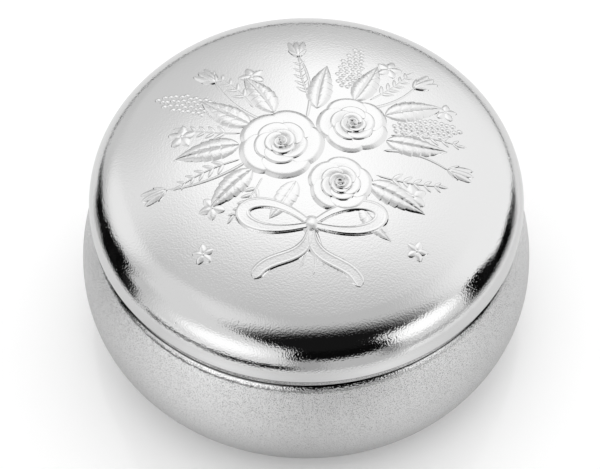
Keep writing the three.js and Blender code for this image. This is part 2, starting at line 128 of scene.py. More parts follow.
def grid_faces(rows, columns, closed):
    """Quads of a grid numbered row by row. Every row runs round to its start, and the last row joins the
    first where the grid is closed."""
    down = np.arange(rows if closed else rows - 1)[:, None]
    along = np.arange(columns)[None, :]
    here = down * columns
    below = (down + 1) % rows * columns
    after = (along + 1) % columns
    corners = [here + along, here + after, below + after, below + along]
    return np.stack(np.broadcast_arrays(*corners), -1).reshape(-1, 4)


def new_piece(name, patches, body, material, slot, *stands_for):
    """A piece from patches of points (mm) and quads, welded at its seams and poles, faces outwards."""
    starts = np.cumsum([0] + [len(points) for points, _ in patches])
    points = np.concatenate([points for points, _ in patches]) * MM
    faces = np.concatenate([quads + start for (_, quads), start in zip(patches, starts)])
    mesh = bpy.data.meshes.new(name)
    mesh.from_pydata(points.tolist(), [], faces.tolist())
    shape = bmesh.new()
    shape.from_mesh(mesh)
    bmesh.ops.remove_doubles(shape, verts=shape.verts, dist=WELD)
    bmesh.ops.recalc_face_normals(shape, faces=shape.faces)
    shape.to_mesh(mesh)
    shape.free()
    mesh.shade_smooth()
    mesh.set_sharp_from_angle(angle=SHARP_ANGLE)
    mesh.materials.append(material)
    made = bpy.data.objects.new(name, mesh)
    bpy.context.scene.collection.objects.link(made)
    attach(made, body)
    if stands_for:
        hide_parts(*stands_for)
    return made


def arc(centre, radii, start, end, steps=ARC_STEPS):
    """Points of an ellipse's arc: centre + radii times (cos, sin) of an angle that runs from start to end."""
    angle = np.radians(np.linspace(start, end, steps))
    return np.asarray(centre) + np.asarray(radii) * np.stack([np.cos(angle), np.sin(angle)], 1)


def bowed(start, end, radius):
    """Points of a circle's arc between two points, bowed to the right of the run: its centre lies to the
    left, at the radius from both."""
    start, end = np.array(start), np.array(end)
    run = end - start
    half = np.linalg.norm(run) / 2
    centre = (start + end) / 2 + np.array([-run[1], run[0]]) / (2 * half) * np.sqrt(radius ** 2 - half ** 2)
    angles = [np.degrees(np.arctan2(*(point - centre)[::-1])) for point in (start, end)]
    return arc(centre, (radius, radius), *angles)


def line(*corners, steps=2):
    """Straight runs through corners of (radius, height), with a few points on each run."""
    corners = np.array(corners, float)
    share = np.linspace(0, 1, steps)[:, None]
    runs = [a + (b - a) * share for a, b in zip(corners[:-1], corners[1:])]
    return np.concatenate(runs)


def soft_outline(corners, softening=EDGE_SOFTENING):
    """A closed outline whose corners are rounded: each corner becomes a quadratic curve that starts and
    ends a little way along its two edges. Corners on the axis stay sharp."""
    corners = np.array(corners, float)
    before = np.roll(corners, 1, axis=0)
    after = np.roll(corners, -1, axis=0)
    share = np.linspace(0, 1, CORNER_STEPS)[:, None]
    runs = []
    for last, here, following in zip(before, corners, after):
        reach = min(softening, *(np.linalg.norm(here - other) / 2 for other in (last, following)))
        if here[0] == 0:
            runs.append(here[None])
            continue
        start = here + (last - here) / np.linalg.norm(last - here) * reach
        end = here + (following - here) / np.linalg.norm(following - here) * reach
        runs.append((1 - share) ** 2 * start + 2 * share * (1 - share) * here + share ** 2 * end)
    return np.concatenate(runs)


def turned(profile, closed):
    """A profile of (radius, height) carried round the axis: x, y = radius times (cos, sin) of the turn."""
    turn = np.linspace(0, 2 * np.pi, TURN_STEPS, endpoint=False)[None, :]
    radius = profile[:, :1]
    height = np.broadcast_to(profile[:, 1:], (len(profile), TURN_STEPS))
    points = np.stack([radius * np.cos(turn), radius * np.sin(turn), height], -1)
    return points.reshape(-1, 3), grid_faces(len(profile), TURN_STEPS, closed)


# Materials: every size and depth of grain is in millimetres, and tones and roughness are shares of 1

# How far the painted shade reaches at the seam, the lip's fine line, the crease and under the lid, and how
# far the bead's ragged edge strays
SEAM_SHADE_REACH = 0.35
LIP_LINE_SHADE_REACH = 0.16
CREASE_HALF = 0.3
RAGGED = 0.6
BEAD_SHADE_LOW = 1.2
BEAD_SHADE_HIGH = 0.95
SIDE_DIP = 0.45
SIDE_DIP_FROM = 26.0
SIDE_DIP_TO = 38.0
CREASE_FADE = 20.0
CREASE_LEAST = 0.3
PAINTED_SHADE_TONE = 0.05

# Frosting: the heights between which its painted shade towards the foot lifts and its grain strengthens, with
# the tones of its dark grains and pale ground at each
FOOT_SHADE_HEIGHT = 8.0
FULL_TONE_HEIGHT = 28.0
FOOT_SHADED_TONES = (0.50, 0.59)
UPPER_TONES = (0.26, 0.98)
BEAD_TONES = (0.15, 0.80)
GRAIN_EDGE = (0.36, 0.46)
SAND_BITE = 0.04
BEAD_BITE = 0.065
SATIN_ROUGHNESS = (0.50, 0.58)
BUFFED_ROUGHNESS = 0.06


def linear(hex_colour):
    """An sRGB hex colour as linear RGBA: each channel through the sRGB curve."""
    channels = np.array([int(hex_colour[i:i + 2], 16) for i in (1, 3, 5)]) / 255
    curved = np.where(channels <= 0.04045, channels / 12.92, ((channels + 0.055) / 1.055) ** 2.4)
    return (*curved.tolist(), 1.0)


def add(tree, kind, links=None, **settings):
    """Adds a node with its settings, then links or sets its inputs."""
    made = tree.nodes.new(kind)
    for name, value in settings.items():
        setattr(made, name, value)
    for socket, value in (links or {}).items():
        if isinstance(value, bpy.types.NodeSocket):
            tree.links.new(value, made.inputs[socket])
        else:
            made.inputs[socket].default_value = value
    return made


def calc(tree, operation, *values):
    """What a Math node makes of its values."""
    return add(tree, "ShaderNodeMath", dict(enumerate(values)), operation=operation).outputs[0]


def vector_calc(tree, operation, *values):
    """A Vector Math node with its values."""
    return add(tree, "ShaderNodeVectorMath", dict(enumerate(values)), operation=operation)


def ranged(tree, value, low=0.0, high=1.0, at_low=0.0, at_high=1.0, curve="LINEAR"):
    """A value carried from the range low to high into the range at_low to at_high, and held beyond it."""
    links = dict(enumerate((value, low, high, at_low, at_high)))
    return add(tree, "ShaderNodeMapRange", links, interpolation_type=curve).outputs[0]


def eased(tree, *limits):
    """The same along an S-shaped curve."""
    return ranged(tree, *limits, curve="SMOOTHSTEP")


def blend(tree, share, first, second):
    """A number between two: the first at share 0, the second at share 1."""
    return add(tree, "ShaderNodeMix", {0: share, 2: first, 3: second}).outputs[0]


def tint(tree, share, first, second):
    """A colour between two hex colours: the first at share 0, the second at share 1."""
    links = {0: share, 6: linear(first), 7: linear(second)}
    return add(tree, "ShaderNodeMix", links, data_type="RGBA").outputs[2]


def per_metre(size_mm):
    """Texture scale, in features per metre, for a feature of this size."""
    return 1 / (size_mm * MM)


def noise(tree, place, size_mm, detail):
    """Noise from 0 to 1 with features of this size."""
    links = {"Vector": place, "Scale": per_metre(size_mm), "Detail": detail}
    return add(tree, "ShaderNodeTexNoise", links).outputs[0]


def bump(tree, height, depth, strength=1.0, **over):
    """The normal of a surface that rises by a depth in metres where height is 1, over another normal if one
    is given."""
    links = {"Height": height, "Distance": depth, "Strength": strength, **over}
    return add(tree, "ShaderNodeBump", links).outputs[0]


def near_height(tree, height, height_mm, half_mm):
    """1 at a height, falling evenly to 0 half_mm above and below it."""
    away = calc(tree, "ABSOLUTE", calc(tree, "SUBTRACT", height, height_mm * MM))
    return ranged(tree, away, 0.0, half_mm * MM, 1.0, 0.0)


def new_material(name):
    """An empty material: itself, its tree, and Object coordinates."""
    made = bpy.data.materials.new(name)
    made.use_nodes = True
    tree = made.node_tree
    tree.nodes.clear()
    return made, tree, add(tree, "ShaderNodeTexCoord").outputs["Object"]


def show(tree, shader):
    """Puts a shader on the material's surface."""
    add(tree, "ShaderNodeOutputMaterial", {"Surface": shader.outputs[0]})


def polished_pewter():
    """Pewter, cast and buffed: a bright mirror, a little grey, over a pebbled cast grain that frays the edges
    of what it mirrors, with a pinhole here and there and painted shade darkening the seam and the lip's fine
    line."""
    made, tree, place = new_material("polished_cast_pewter")
    pebble = noise(tree, place, size_mm=0.36, detail=1.0)
    swell = noise(tree, place, size_mm=6.0, detail=1.0)
    cells = add(tree, "ShaderNodeTexVoronoi", {"Vector": place, "Scale": per_metre(size_mm=3.5)})
    pits = ranged(tree, cells.outputs["Distance"], low=0.01, high=0.06)
    swollen = bump(tree, swell, depth=0.02 * MM)
    pitted = bump(tree, pits, depth=0.02 * MM, Normal=swollen)
    height = add(tree, "ShaderNodeSeparateXYZ", {0: place}).outputs["Z"]
    # Painted shade: the colour darkens near the lid's lower edge and along the lip's fine line
    seam = near_height(tree, height, SEAM, SEAM_SHADE_REACH)
    lip_line_shade = near_height(tree, height, LIP_LINE_HEIGHT, LIP_LINE_SHADE_REACH)
    show(tree, add(tree, "ShaderNodeBsdfPrincipled", {
        "Base Color": tint(tree, calc(tree, "MAXIMUM", seam, lip_line_shade), "#DCDCDC", "#1C1C1C"),
        "Metallic": 1.0,
        "Roughness": ranged(tree, swell, at_low=0.03, at_high=0.06),
        "Normal": bump(tree, pebble, depth=0.028 * MM, Normal=pitted),
    }))
    return made


def frosted_pewter():
    """Pewter, sand-frosted outside and buffed bright along the bead: a silky grey peppered with fine dark
    grain that fades towards the foot, where painted shade darkens it, turning along a ragged line to a gritty
    mirror above the crease, with painted shade in the crease, more to the left, and under the lid, lower at
    either side. The grain is drawn coarser than real frosting, so that it shows."""
    made, tree, place = new_material("frosted_cast_pewter")
    parts = add(tree, "ShaderNodeSeparateXYZ", {0: place})
    across = parts.outputs["X"]
    height = parts.outputs["Z"]
    pebble = noise(tree, place, size_mm=0.42, detail=1.0)
    sand = noise(tree, place, size_mm=0.145, detail=2.0)
    cloud = noise(tree, place, size_mm=9.0, detail=2.0)
    ragged = calc(tree, "ADD", height, ranged(tree, pebble, at_low=-RAGGED * MM, at_high=RAGGED * MM))
    buffed = ranged(tree, ragged, CREASE_HEIGHT * MM, (CREASE_HEIGHT + CREASE_HALF) * MM)
    # Painted shade: the frosting's tones darken towards the foot, while its grain fades
    dark, pale = [ranged(tree, height, FOOT_SHADE_HEIGHT * MM, FULL_TONE_HEIGHT * MM, *tones)
                  for tones in zip(FOOT_SHADED_TONES, UPPER_TONES)]
    frosted = ranged(tree, sand, *GRAIN_EDGE, dark, pale)
    gritty = ranged(tree, sand, *GRAIN_EDGE, *BEAD_TONES)
    # Painted shade: dark in the crease, stronger to the left, and just under the lid, reaching lower at
    # either side
    groove = near_height(tree, ragged, CREASE_HEIGHT, CREASE_HALF)
    crease_shade_to_left = ranged(tree, across, -CREASE_FADE * MM, CREASE_FADE * MM, 1.0, CREASE_LEAST)
    crease = calc(tree, "MULTIPLY", groove, crease_shade_to_left)
    aside = calc(tree, "ABSOLUTE", across)
    dip = ranged(tree, aside, SIDE_DIP_FROM * MM, SIDE_DIP_TO * MM, 0.0, SIDE_DIP * MM)
    dipped = calc(tree, "ADD", height, dip)
    seam = ranged(tree, dipped, (SEAM - BEAD_SHADE_LOW) * MM, (SEAM - BEAD_SHADE_HIGH) * MM)
    finish_with_foot_shade = blend(tree, buffed, frosted, gritty)
    satin = ranged(tree, cloud, 0.0, 1.0, *SATIN_ROUGHNESS)
    grit = blend(tree, buffed, sand, pebble)
    bite = ranged(tree, buffed, at_low=SAND_BITE * MM, at_high=BEAD_BITE * MM)
    show(tree, add(tree, "ShaderNodeBsdfPrincipled", {
        "Base Color": blend(tree, calc(tree, "MAXIMUM", crease, seam), finish_with_foot_shade, PAINTED_SHADE_TONE),
        "Metallic": 1.0,
        "Roughness": blend(tree, buffed, satin, BUFFED_ROUGHNESS),
        "Normal": bump(tree, grit, depth=bite),
    }))
    return made


def velvet():
    """Cotton velvet with a short pile: deep blue, mottled where the nap lies another way, and paler
    along its edges, where the pile is seen from the side."""
    made, tree, place = new_material("short_pile_velvet")
    nap = noise(tree, place, size_mm=12.0, detail=3.0)
    pile = noise(tree, place, size_mm=0.35, detail=2.0)
    show(tree, add(tree, "ShaderNodeBsdfPrincipled", {
        "Base Color": tint(tree, nap, "#18234A", "#2A3A70"),
        "Roughness": 0.95,
        "Sheen Weight": 0.7,
        "Sheen Roughness": 0.35,
        "Sheen Tint": linear("#8A9AD0"),
        "Normal": bump(tree, pile, depth=0.15 * MM, strength=0.8),
    }))
    return made


def grey_board():
    """Grey board, pressed from waste paper: matt, flecked with darker fibres."""
    made, tree, place = new_material("grey_board")
    fibre = noise(tree, place, size_mm=0.8, detail=4.0)
    show(tree, add(tree, "ShaderNodeBsdfPrincipled", {
        "Base Color": tint(tree, fibre, "#7C776E", "#9C968A"),
        "Roughness": 0.95,
        "Normal": bump(tree, fibre, depth=0.05 * MM, strength=0.6),
    }))
    return made


def wadding():
    """Cotton wadding: loose white fibre, matt and lumpy."""
    made, tree, place = new_material("cotton_wadding")
    tuft = noise(tree, place, size_mm=1.5, detail=5.0)
    show(tree, add(tree, "ShaderNodeBsdfPrincipled", {
        "Base Color": tint(tree, tuft, "#DAD5C8", "#F0EDE4"),
        "Roughness": 1.0,
        "Normal": bump(tree, tuft, depth=0.4 * MM, strength=0.7),
    }))
    return made


POLISHED = polished_pewter()
FROSTED = frosted_pewter()
VELVET = velvet()
BOARD = grey_board()
WADDING = wadding()


# Turned pieces

def lid_skin(depth):
    """The lid's outline at a depth under its outer skin: shoulder arc, then dome arc up to the axis."""
    shoulder = SHOULDER_RADIUS - depth
    dome = DOME_RADIUS - depth
    rolled = arc(SHOULDER_CENTRE, (shoulder, shoulder), 0, DOME_MEETS_SHOULDER)
    domed = arc((0, DOME_CENTRE), (dome, dome), DOME_MEETS_SHOULDER, 90)
    domed[-1, 0] = 0
    return np.concatenate([rolled, domed[1:]])


def lid_shell():
    """The lid: inner skin down to the bore, the softened lower edge, the tuck of the lip up to a fine line,
    then the outer skin up to the axis."""
    bore = LID_RADIUS - LID_WALL
    edge_centre = (LID_RADIUS - LID_TUCK - LID_EDGE_ROUND, SEAM + LID_EDGE_ROUND)
    edge = arc(edge_centre, (LID_EDGE_ROUND, LID_EDGE_ROUND), -90, 0, SMALL_ARC_STEPS)
    tuck = line(edge[-1], (LID_RADIUS, LIP_LINE_HEIGHT), steps=TUCK_STEPS)
    lip_top = (SHOULDER_CENTRE[0] + SHOULDER_RADIUS, SHOULDER_CENTRE[1])
    lip = line((LID_RADIUS, LIP_LINE_HEIGHT), lip_top, steps=TUCK_STEPS)
    profile = np.concatenate([
        lid_skin(LID_WALL)[::-1], line((bore, SEAM), edge[0]), edge[1:], tuck[1:], lip[1:-1], lid_skin(0)])
    patches = [turned(profile, False)]
    new_piece("lid_shell_turned", patches, "lid", POLISHED, "polished_pewter", "lid_shell")


def base_bowl():
    """The bowl: foot ring, a quarter ellipse up to the belly, the side arc up to the crease, the bead on top,
    the mouth with the collar's ledge, and the same curves set in by the wall on the inside."""
    ledge_bore = COLLAR_OUTER - COLLAR_WALL
    ledge_bottom = COLLAR_BOTTOM - COLLAR_LEDGE
    inner_side = SIDE_RADIUS - BASE_WALL
    taper_angle = np.degrees(np.arcsin((ledge_bottom - LEDGE_TAPER - BELLY_HEIGHT) / inner_side))
    foot_bore = FOOT_RADIUS - FOOT_RING_WIDTH
    foot_centre = (FOOT_RADIUS, BELLY_HEIGHT)
    profile = np.concatenate([
        line((0, FOOT_RECESS), (foot_bore - EDGE_SOFTENING, FOOT_RECESS)),
        line((foot_bore, FOOT_RECESS - EDGE_SOFTENING), (foot_bore, EDGE_SOFTENING)),
        line((foot_bore + EDGE_SOFTENING, 0), (FOOT_RADIUS - EDGE_SOFTENING, 0)),
        arc(foot_centre, (FOOT_INSET, BELLY_HEIGHT), -90, 0),
        arc(SIDE_CENTRE, (SIDE_RADIUS, SIDE_RADIUS), 0, SIDE_LAST)[1:],
        arc(SIDE_CENTRE, (SIDE_RADIUS, SIDE_RADIUS), SIDE_LAST, SIDE_END, SMALL_ARC_STEPS)[1:],
        bowed((LID_RADIUS - RIM_INSET, CREASE_HEIGHT), (MOUTH_RADIUS + RIM_FLAT, SEAM), BEAD_ROUND)[1:],
        line((MOUTH_RADIUS, SEAM), (MOUTH_RADIUS, COLLAR_BOTTOM)),
        line((ledge_bore, COLLAR_BOTTOM), (ledge_bore, ledge_bottom)),
        arc(SIDE_CENTRE, (inner_side, inner_side), taper_angle, 0, SMALL_ARC_STEPS),
        arc(foot_centre, (FOOT_INSET - BASE_WALL, BELLY_HEIGHT - FLOOR_TOP), 0, -90)[1:],
        np.array([[0, FLOOR_TOP]]),
    ])
    patches = [turned(profile, False)]
    new_piece("base_bowl_turned", patches, "base", FROSTED, "frosted_pewter", "base_bowl")


def seat_collar():
    """The collar: a thin ring that tapers in above the lid's lip, with softened edges."""
    inner = COLLAR_OUTER - COLLAR_WALL
    shoulder = SHOULDER_RADIUS - LID_WALL
    clearance = LID_RADIUS - LID_WALL - COLLAR_OUTER
    top = SHOULDER_CENTRE[0] + np.sqrt(shoulder ** 2 - (COLLAR_TOP - SHOULDER_CENTRE[1]) ** 2) - clearance
    corners = [(inner, COLLAR_BOTTOM), (COLLAR_OUTER, COLLAR_BOTTOM), (COLLAR_OUTER, SHOULDER_CENTRE[1]),
               (top, COLLAR_TOP), (inner, COLLAR_TOP)]
    patches = [turned(soft_outline(corners), True)]
    new_piece("seat_collar_turned", patches, "base", POLISHED, "polished_pewter", "seat_collar")


def ring(name, inner, outer, bottom, top, body, material, slot, node):
    """A flat-sided ring with softened edges."""
    corners = [(inner, bottom), (outer, bottom), (outer, top), (inner, top)]
    new_piece(name, [turned(soft_outline(corners), True)], body, material, slot, node)


def disc(name, radius, bottom, top, body, material, slot, node):
    """A flat disc with softened edges."""
    corners = [(0, bottom), (radius, bottom), (radius, top), (0, top)]
    new_piece(name, [turned(soft_outline(corners), False)], body, material, slot, node)


def wall_velvet():
    """Velvet on the wall lining, folded over the card: a rounded hook in section."""
    outer = WALL_CARD_OUTER - CARD_THICKNESS
    inner = outer - VELVET_THICKNESS
    gap = WALL_VELVET_TOP - VELVET_THICKNESS - WALL_CARD_TOP
    fold = WALL_CARD_TOP + gap
    corners = [(inner - gap, WALL_BOTTOM), (outer - gap, WALL_BOTTOM), (outer - gap, fold),
               (WALL_CARD_OUTER, fold), (WALL_CARD_OUTER, WALL_VELVET_TOP), (inner - gap, WALL_VELVET_TOP)]
    profile = soft_outline(corners, VELVET_THICKNESS / 2)
    patches = [turned(profile, True)]
    new_piece("wall_velvet_lining", patches, "base", VELVET, "blue_velvet", "wall_velvet")


def floor_pad():
    """The velvet pad: a crowned disc whose edge is drawn down round the card. Height is a quarter ellipse
    of the radius, with shallow gathers, a cosine of the turn, that fade in towards the edge."""
    gathers = 28
    depth = 0.25
    gathered_from = 0.8
    hem_from = 0.999
    edge = PAD_TOP - (WADDING_TOP - WADDING_BOTTOM) + PAD_EDGE_RISE
    top = arc((0, edge), (PAD_RADIUS, PAD_TOP - edge), 90, 0, 2 * ARC_STEPS)
    top[0, 0] = 0
    under = arc((0, edge - VELVET_THICKNESS), (PAD_CORE_RADIUS, PAD_TOP - edge), 0, 90)
    under[-1, 0] = 0
    hem = line((PAD_RADIUS, PAD_BOTTOM + EDGE_SOFTENING), (PAD_RADIUS - EDGE_SOFTENING, PAD_BOTTOM),
               (PAD_CORE_RADIUS, PAD_BOTTOM))
    profile = np.concatenate([top, hem, under])
    points, faces = turned(profile, False)
    radius = np.hypot(points[:, 0], points[:, 1])
    turn = np.arctan2(points[:, 1], points[:, 0])
    near_edge = np.clip((radius / PAD_RADIUS - gathered_from) / (1 - gathered_from), 0, 1) ** 2
    on_top = np.arange(len(points)) < len(top) * TURN_STEPS
    outside = on_top & (radius < PAD_RADIUS * hem_from)
    points[:, 2] -= np.where(outside, depth * near_edge * (0.5 - 0.5 * np.cos(gathers * turn)), 0)
    made = new_piece("floor_velvet_pad", [(points, faces)], "base", VELVET, "blue_velvet", "floor_velvet")


def floor_wadding():
    """The wadding under the velvet: the same crown, one layer down."""
    edge = WADDING_BOTTOM + PAD_EDGE_RISE
    crown = arc((0, edge), (PAD_CORE_RADIUS, WADDING_TOP - edge), 0, 90)
    crown[-1, 0] = 0
    profile = np.concatenate([line((0, WADDING_BOTTOM), (PAD_CORE_RADIUS, WADDING_BOTTOM)), crown])
    patches = [turned(profile, False)]
    made = new_piece("floor_wadding_pad", patches, "base", WADDING, "cotton_wadding", "floor_wadding")


# Relief on the lid: a spray of roses, all in millimetres on the plan of the dome, +y away from the front

SUNK = 0.12
FINE_SUNK = 0.05
KEEL = 0.6
LEAST = 1e-3
LEAST_SQUARED = 1e-4

# Steps along each form and across it
LEAF_STEPS = (90, 25)
PETAL_STEPS = (40, 21)
STEM_STEPS = (30, 9)
PLAIN_STEPS = (18, 11)
RIBBON_STEPS = 25
LOOP_STEPS = 60
TAIL_STEPS = 50
BEAD_STEPS = 14


def on_dome(plan, height):
    """Points at a height above the dome: the dome's centre plus (radius + height) times the unit vector
    whose plan is plan / radius."""
    across = plan / DOME_RADIUS
    upright = np.sqrt(1 - np.sum(across ** 2, -1, keepdims=True))
    normal = np.concatenate([across, upright], -1)
    return normal * (DOME_RADIUS + height[..., None]) + np.array([0, 0, DOME_CENTRE])


def swept(path, half_width, height):
    """A raised form along a path: at each of its points, steps from -1 to 1 across it at half_width, with
    their own heights above the dome, closed by a keel that runs under the dome."""
    tangent = np.gradient(path, axis=0)
    tangent = tangent / np.linalg.norm(tangent, axis=1, keepdims=True)
    sideways = np.stack([-tangent[:, 1], tangent[:, 0]], 1)
    steps = np.linspace(-1, 1, height.shape[1])
    offset = sideways[:, None] * half_width[:, None, None] * steps[None, :, None]
    plan = np.concatenate([path[:, None] + offset, path[:, None]], 1)
    height = np.concatenate([height, np.full((len(path), 1), -KEEL)], 1)
    return on_dome(plan, height).reshape(-1, 3), grid_faces(*height.shape, False)


def raised(crest, level, sunk=SUNK):
    """Heights from a crest along the path and a level, 0 to 1, across it: sunk at level 0."""
    return -sunk + (crest[:, None] + sunk) * level


def shares(steps):
    """Shares from 0 to 1 along a form, and from -1 to 1 across it."""
    return np.linspace(0, 1, steps[0]), np.linspace(-1, 1, steps[1])


def turned_plan(angle):
    """The unit vector at an angle in degrees on the plan."""
    return np.stack([np.cos(np.radians(angle)), np.sin(np.radians(angle))], -1)


def leaf(base, angle, length, half_width, crest, bend):
    """A toothed leaf: the middle line is a parabola, the width a skewed sine with saw teeth, and the blade
    two soft cushions, with a groove between them and slanting veins cut as narrow bell curves."""
    tooth_count, tooth_depth = 7, 0.12
    skew, fullness = 0.72, 0.85
    cushion_middle, cushion_side = 0.78, 0.6
    groove_depth, groove_width = 0.24, 0.08
    vein_count, vein_slant, vein_depth, vein_width = 6, 1.1, 0.07, 0.11
    ends, bluntness = (0.02, 0.985), 0.35
    s, t = shares(LEAF_STEPS)
    ahead = turned_plan(angle)
    aside = turned_plan(angle + 90)
    path = np.array(base) + s[:, None] * length * ahead + (bend * s ** 2)[:, None] * aside
    teeth = 1 - tooth_depth * (1 - (s * tooth_count) % 1) * np.sin(np.pi * s)
    width = half_width * np.sin(np.pi * s ** skew) ** fullness * teeth
    cushion = (1 - t ** 2) * (cushion_middle + cushion_side * np.abs(t))
    groove = groove_depth * np.exp(-(t / groove_width) ** 2)
    across_vein = (vein_count * s[:, None] - vein_slant * np.abs(t)) % 1 - 0.5
    veins = vein_depth * np.exp(-(across_vein / vein_width) ** 2) * (1 - t ** 2)
    level = (cushion - groove)[None] - veins
    level[:, [0, -1]] = 0
    rise = np.sin(np.pi * np.clip(s, *ends)) ** bluntness
    return swept(path, np.maximum(width, LEAST), raised(crest * rise, level))


def petal(centre, angle, span, ring_radius, half_width, crest, whirl):
    """A rose petal: a crescent round the heart, drawn in and lowered at its ends, one end tucked under its
    neighbour. Across it, the height climbs as a sine to a rolled lip and falls off it as a cosine."""
    drawn_in, lowered = 0.16, 0.3
    root, lip_place = 0.35, 0.45
    s, t = (np.linspace(-1, 1, steps) for steps in PETAL_STEPS)
    turn = angle + s * span / 2
    radius = ring_radius * (1 - drawn_in * s ** 2 + whirl * s)
    path = np.array(centre) + radius[:, None] * turned_plan(turn)
    width = half_width * np.sqrt(np.maximum(1 - s ** 4, LEAST_SQUARED))
    climb = root + (1 - root) * np.sin(np.pi / 2 * np.clip((t + 1) / (lip_place + 1), 0, 1))
    fall = np.cos(np.pi / 2 * np.clip((t - lip_place) / (1 - lip_place), 0, 1))
    lip = np.minimum(climb, fall)
    lip[0] = 0
    height = raised(crest * (1 - lowered * s ** 2), np.broadcast_to(lip[::-1], PETAL_STEPS))
    return swept(path, width, height)


def bead(centre, radius, crest):
    """A round bead: rings of a dome, height 1 - ring squared, closed under the skin."""
    ring_share = np.array([0, 0.25, 0.5, 0.75, 0.9, 1, 0])
    height = -FINE_SUNK + (crest + FINE_SUNK) * (1 - ring_share ** 2)
    height[-1] = -KEEL
    turn = np.linspace(0, 360, BEAD_STEPS, endpoint=False)
    plan = np.array(centre) + radius * ring_share[:, None, None] * turned_plan(turn)[None]
    height = np.broadcast_to(height[:, None], plan.shape[:2])
    return on_dome(plan, height).reshape(-1, 3), grid_faces(*height.shape, False)


def rose(centre, size, turn):
    """An open rose: rings of petals round a heart, each ring smaller and higher than the last."""
    patches = []
    for count, ring_share, width_share, crest, span, whirl in ROSE_RINGS:
        for k in range(count):
            angle = turn + 360 * (k + ring_share) / count
            patches.append(petal(centre, angle, span, ring_share * size, width_share * size, crest, whirl))
    heart_share, heart_crest = ROSE_HEART
    patches.append(bead(centre, heart_share * size, heart_crest))
    return patches


def stem(start, end, bow, half_width=0.45, crest=0.17):
    """A round stem: a parabola from start to end, bowed sideways, thinner towards its end."""
    taper, lowered, bluntness = 0.35, 0.25, 12
    s, t = shares(STEM_STEPS)
    start, end = np.array(start, float), np.array(end, float)
    along = end - start
    aside = np.array([-along[1], along[0]]) / np.linalg.norm(along)
    path = start + s[:, None] * along + (4 * bow * s * (1 - s))[:, None] * aside
    blunt = np.sqrt(np.maximum(1 - (2 * s - 1) ** bluntness, LEAST_SQUARED))
    width = half_width * (1 - taper * s) * blunt
    height = raised(crest * (1 - lowered * s), np.broadcast_to(1 - t ** 2, STEM_STEPS), FINE_SUNK)
    return swept(path, width, height)


def plain_petal(base, angle, length, half_width, crest):
    """A smooth blunt petal: width the root of a skewed sine, cushioned across."""
    width_skew, rise_skew, bluntness = 0.8, 0.7, 0.4
    s, t = shares(PLAIN_STEPS)
    path = np.array(base) + s[:, None] * length * turned_plan(angle)
    width = half_width * np.sqrt(np.maximum(np.sin(np.pi * s ** width_skew), LEAST_SQUARED))
    rise = np.maximum(np.sin(np.pi * s ** rise_skew), LEAST) ** bluntness
    return swept(path, width, raised(crest * rise, np.broadcast_to(1 - t ** 2, PLAIN_STEPS)))


def bud(centre, angle, length):
    """A closed bud: three slim petals side by side and two sepals that clasp them."""
    foot = np.array(centre) - turned_plan(angle) * length / 2
    return [plain_petal(foot, angle + lean, length * length_share, width_share * length, crest)
            for lean, length_share, width_share, crest in BUD_PETALS]


def blossom(centre, size, turn):
    """A blossom: a ring of petals with a bead at its heart."""
    count, width_share, crest = BLOSSOM_PETALS
    heart_share, heart_crest = BLOSSOM_HEART
    patches = [plain_petal(centre, turn + 360 / count * k, size, width_share * size, crest)
               for k in range(count)]
    patches.append(bead(centre, heart_share * size, heart_crest))
    return patches


def flower_spike(base, angle, length, half_width, seed):
    """A spike of small round florets: rows of beads across an outline that is a stretch of a sine, every
    other row shifted, with a little seeded scatter."""
    scatter = np.random.default_rng(seed)
    step, row_share, shift_share, stray = 1.25, 0.85, 0.3, 0.09
    sine_from, sine_run, fullness = 0.18, 0.80, 0.8
    floret, unevenness = 0.62, 0.1
    edge_crest, middle_rise = 0.15, 0.13
    ahead = turned_plan(angle)
    aside = turned_plan(angle + 90)
    patches = []
    for row in range(int(length / (step * row_share))):
        along = row * step * row_share
        width = half_width * np.sin(np.pi * (sine_from + sine_run * along / length)) ** fullness
        count = max(1, int(2 * width / step))
        places = (np.arange(count) - (count - 1) / 2) * step + (row % 2) * step * shift_share
        for place in places:
            wobble = scatter.normal(0, stray, 2)
            spot = np.array(base) + ahead * (along + wobble[0]) + aside * (place + wobble[1])
            middle = 1 - abs(place) / (half_width + step)
            patches.append(bead(spot, floret + unevenness * wobble[0], edge_crest + middle_rise * middle))
    return patches


def sprig(base, angle, length, bow):
    """A sprig: a fine stem with pairs of small leaves, shorter towards its end, and one at the tip."""
    pairs, lean = np.linspace(0.25, 0.9, 5), 42
    leaf_length, leaf_width_share, leaf_crest = 2.5, 0.24, 0.17
    longest, shortening = 1.15, 0.5
    tip_place, tip_length, tip_half_width = 0.95, 2.2, 0.5
    base = np.array(base)
    ahead = turned_plan(angle)
    aside = turned_plan(angle + 90)
    patches = [stem(base, base + ahead * length, bow, half_width=0.3, crest=0.13)]
    for share in pairs:
        spot = base + ahead * length * share + aside * 4 * bow * share * (1 - share)
        reach = leaf_length * (longest - shortening * share)
        for side in (lean, -lean):
            patches.append(plain_petal(spot, angle + side, reach, leaf_width_share * reach, leaf_crest))
    tip = base + ahead * length * tip_place
    patches.append(plain_petal(tip, angle, tip_length, tip_half_width, leaf_crest))
    return patches


def ribbon(path, half_width, crest):
    """A flat ribbon along a path: level across, with a raised hem at each edge."""
    places = [-1, -0.75, -0.58, -0.42, 0.42, 0.58, 0.75, 1]
    levels = [0, 0.82, 1, 0.9, 0.9, 1, 0.82, 0]
    across = np.interp(np.linspace(-1, 1, RIBBON_STEPS), places, levels)
    return swept(path, half_width, raised(crest, np.broadcast_to(across, (len(path), RIBBON_STEPS))))


